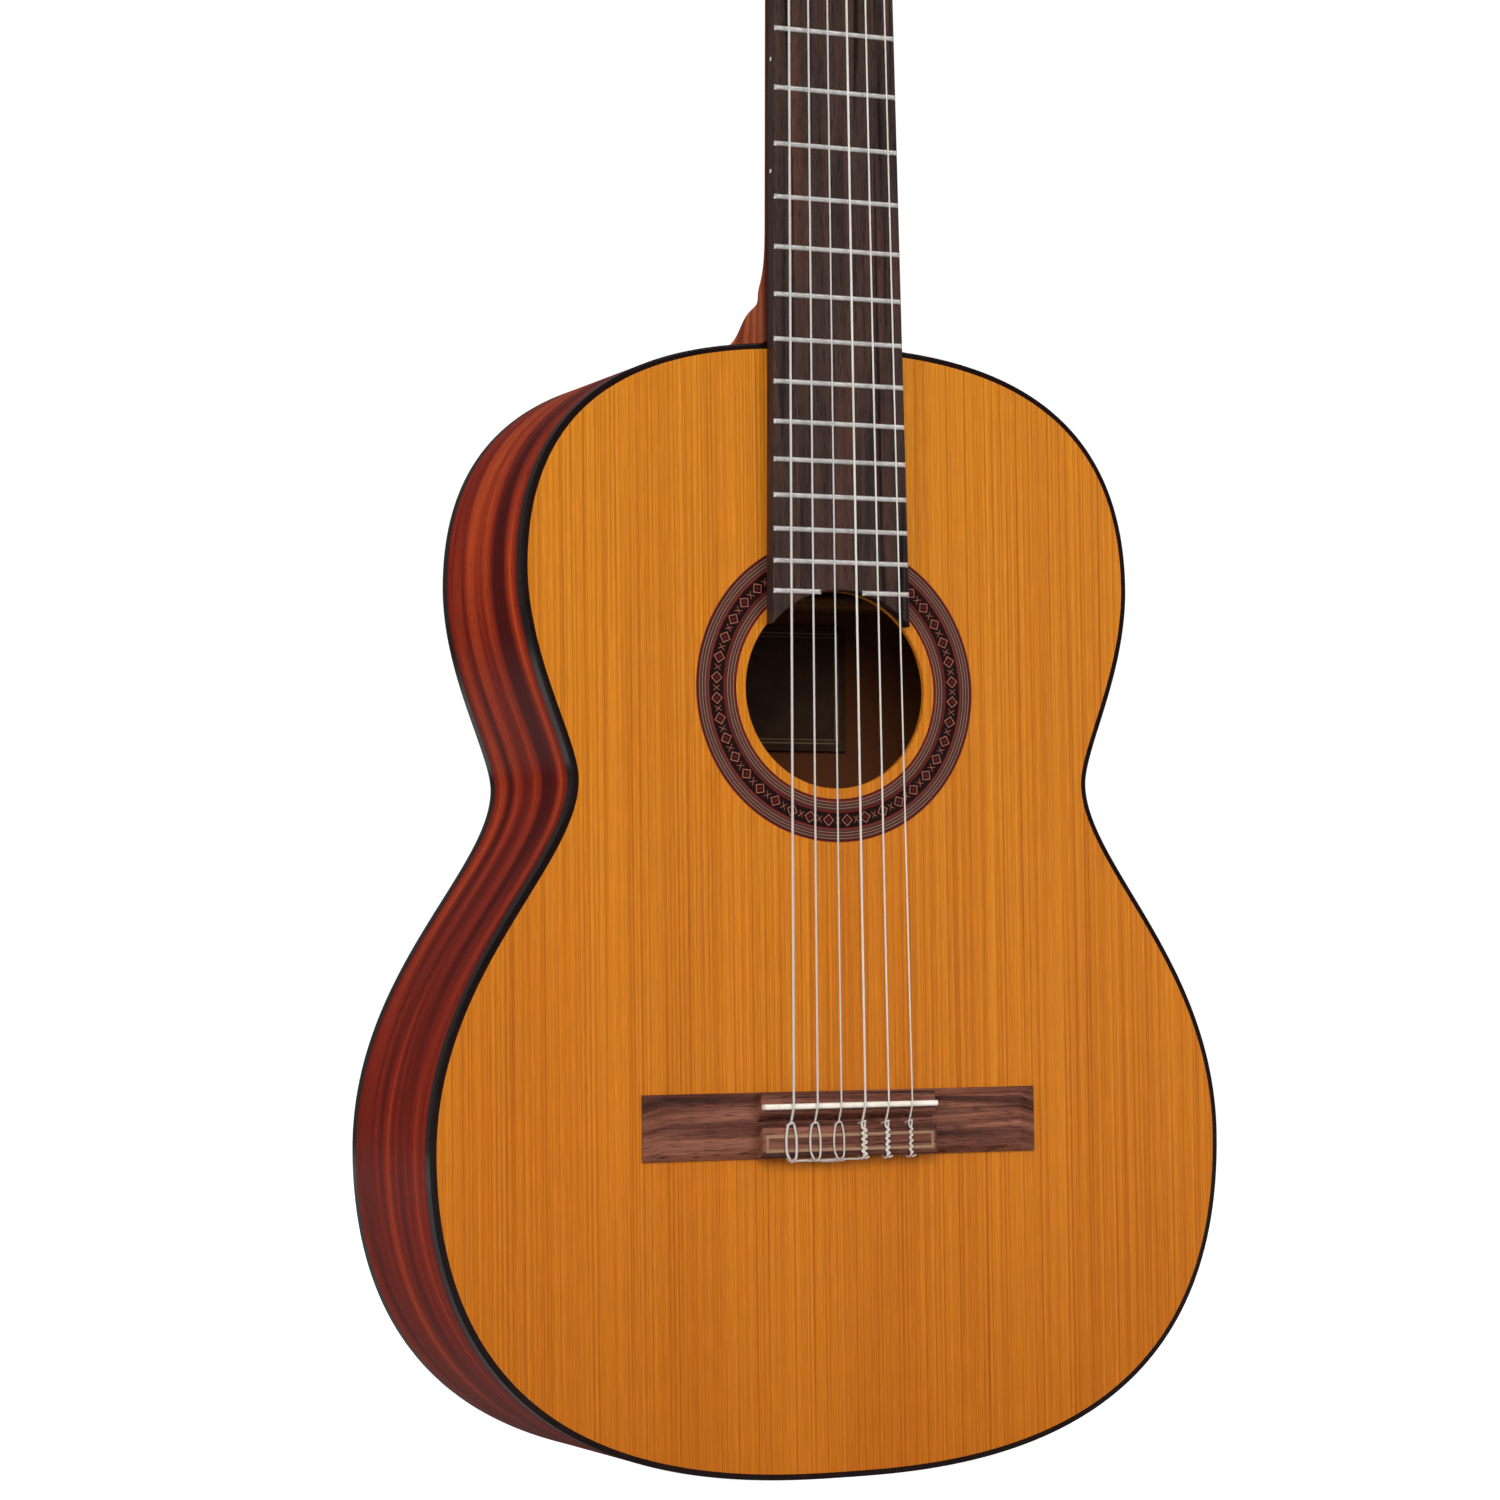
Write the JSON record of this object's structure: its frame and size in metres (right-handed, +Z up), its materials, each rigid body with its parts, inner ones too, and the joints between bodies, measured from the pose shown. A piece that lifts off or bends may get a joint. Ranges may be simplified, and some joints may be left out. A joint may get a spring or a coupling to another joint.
{
  "type": "classical guitar",
  "caption": "Full-size nylon-string classical guitar with a round soundhole, tie bridge, slotted head and worm-geared tuning machines that turn.",
  "frame": {"origin": "bottom centre of the whole instrument's box: the tail end, on the centre line, half way through the depth", "axes": "+Z up the neck from the tail to the head, +X to the treble side, +Y from the soundboard to the back, so the front faces -Y"},
  "size_m": [0.372, 0.1145, 0.9943],
  "materials": {
    "cedar_top": "gloss",
    "mahogany": "gloss",
    "neck_wood": "satin",
    "rosewood": "satin",
    "black_edging": "gloss",
    "inner_wood": "raw",
    "mosaic": "gloss",
    "bone": "polished",
    "pale_trim": "satin",
    "paper": "matt",
    "wound_string": "silver plated winding",
    "nylon": "clear",
    "brass": "polished",
    "steel": "polished",
    "pearl": "pearl",
    "roller_plastic": "satin"
  },
  "bodies": {
    "guitar": {"soundboard": "cedar_top", "rosette": "mosaic", "back": "mahogany", "rib_bass": "mahogany", "rib_treble": "mahogany", "top_binding": "black_edging", "back_binding": "black_edging", "end_graft": "black_edging", "heel_cap": "black_edging", "top_lining": "inner_wood", "back_lining": "inner_wood", "tail_block": "inner_wood", "soundboard_bracing": "inner_wood", "back_bracing": "inner_wood", "label": "paper", "neck": "neck_wood", "fretboard": "rosewood", "bridge": "rosewood", "head_veneer": "rosewood", "nut": "bone", "saddle": "bone", "tie_block_trim": "pale_trim", "tuner_plate_bass": "brass", "tuner_plate_treble": "brass", "string_1": "nylon", "string_2": "nylon", "string_3": "nylon", "string_4": "wound_string", "string_5": "wound_string", "string_6": "wound_string"},
    "button_1": {"tuner_button_1": "pearl", "worm_shaft_1": "steel"},
    "roller_1": {"string_roller_1": "roller_plastic", "tuner_gear_1": "brass", "gear_screw_1": "steel"},
    "button_2": {"tuner_button_2": "pearl", "worm_shaft_2": "steel"},
    "roller_2": {"string_roller_2": "roller_plastic", "tuner_gear_2": "brass", "gear_screw_2": "steel"},
    "button_3": {"tuner_button_3": "pearl", "worm_shaft_3": "steel"},
    "roller_3": {"string_roller_3": "roller_plastic", "tuner_gear_3": "brass", "gear_screw_3": "steel"},
    "button_4": {"tuner_button_4": "pearl", "worm_shaft_4": "steel"},
    "roller_4": {"string_roller_4": "roller_plastic", "tuner_gear_4": "brass", "gear_screw_4": "steel"},
    "button_5": {"tuner_button_5": "pearl", "worm_shaft_5": "steel"},
    "roller_5": {"string_roller_5": "roller_plastic", "tuner_gear_5": "brass", "gear_screw_5": "steel"},
    "button_6": {"tuner_button_6": "pearl", "worm_shaft_6": "steel"},
    "roller_6": {"string_roller_6": "roller_plastic", "tuner_gear_6": "brass", "gear_screw_6": "steel"}
  },
  "joints": [
    {"name": "button_1_turn", "type": "hinge", "parent": "guitar", "child": "button_1", "pos_m": [0.041, -0.0226, 0.85369], "axis": [0, 0.9659, -0.2588], "continuous": true},
    {"name": "roller_1_turn", "type": "hinge", "parent": "guitar", "child": "roller_1", "pos_m": [0.0185, -0.02068, 0.86084], "axis": [1, 0, 0], "continuous": true},
    {"name": "button_2_turn", "type": "hinge", "parent": "guitar", "child": "button_2", "pos_m": [0.041, -0.01354, 0.8875], "axis": [0, 0.9659, -0.2588], "continuous": true},
    {"name": "roller_2_turn", "type": "hinge", "parent": "guitar", "child": "roller_2", "pos_m": [0.0185, -0.01162, 0.89465], "axis": [1, 0, 0], "continuous": true},
    {"name": "button_3_turn", "type": "hinge", "parent": "guitar", "child": "button_3", "pos_m": [0.041, -0.00448, 0.9213], "axis": [0, 0.9659, -0.2588], "continuous": true},
    {"name": "roller_3_turn", "type": "hinge", "parent": "guitar", "child": "roller_3", "pos_m": [0.0185, -0.00257, 0.92845], "axis": [1, 0, 0], "continuous": true},
    {"name": "button_4_turn", "type": "hinge", "parent": "guitar", "child": "button_4", "pos_m": [-0.041, -0.00448, 0.9213], "axis": [0, 0.9659, -0.2588], "continuous": true},
    {"name": "roller_4_turn", "type": "hinge", "parent": "guitar", "child": "roller_4", "pos_m": [-0.0185, -0.00257, 0.92845], "axis": [1, 0, 0], "continuous": true},
    {"name": "button_5_turn", "type": "hinge", "parent": "guitar", "child": "button_5", "pos_m": [-0.041, -0.01354, 0.8875], "axis": [0, 0.9659, -0.2588], "continuous": true},
    {"name": "roller_5_turn", "type": "hinge", "parent": "guitar", "child": "roller_5", "pos_m": [-0.0185, -0.01162, 0.89465], "axis": [1, 0, 0], "continuous": true},
    {"name": "button_6_turn", "type": "hinge", "parent": "guitar", "child": "button_6", "pos_m": [-0.041, -0.0226, 0.85369], "axis": [0, 0.9659, -0.2588], "continuous": true},
    {"name": "roller_6_turn", "type": "hinge", "parent": "guitar", "child": "roller_6", "pos_m": [-0.0185, -0.02068, 0.86084], "axis": [1, 0, 0], "continuous": true}
  ],
  "couplings": [
    {"joint": "roller_1_turn", "follows": "button_1_turn", "ratio": -0.071429},
    {"joint": "roller_2_turn", "follows": "button_2_turn", "ratio": -0.071429},
    {"joint": "roller_3_turn", "follows": "button_3_turn", "ratio": -0.071429},
    {"joint": "roller_4_turn", "follows": "button_4_turn", "ratio": -0.071429},
    {"joint": "roller_5_turn", "follows": "button_5_turn", "ratio": -0.071429},
    {"joint": "roller_6_turn", "follows": "button_6_turn", "ratio": -0.071429}
  ]
}
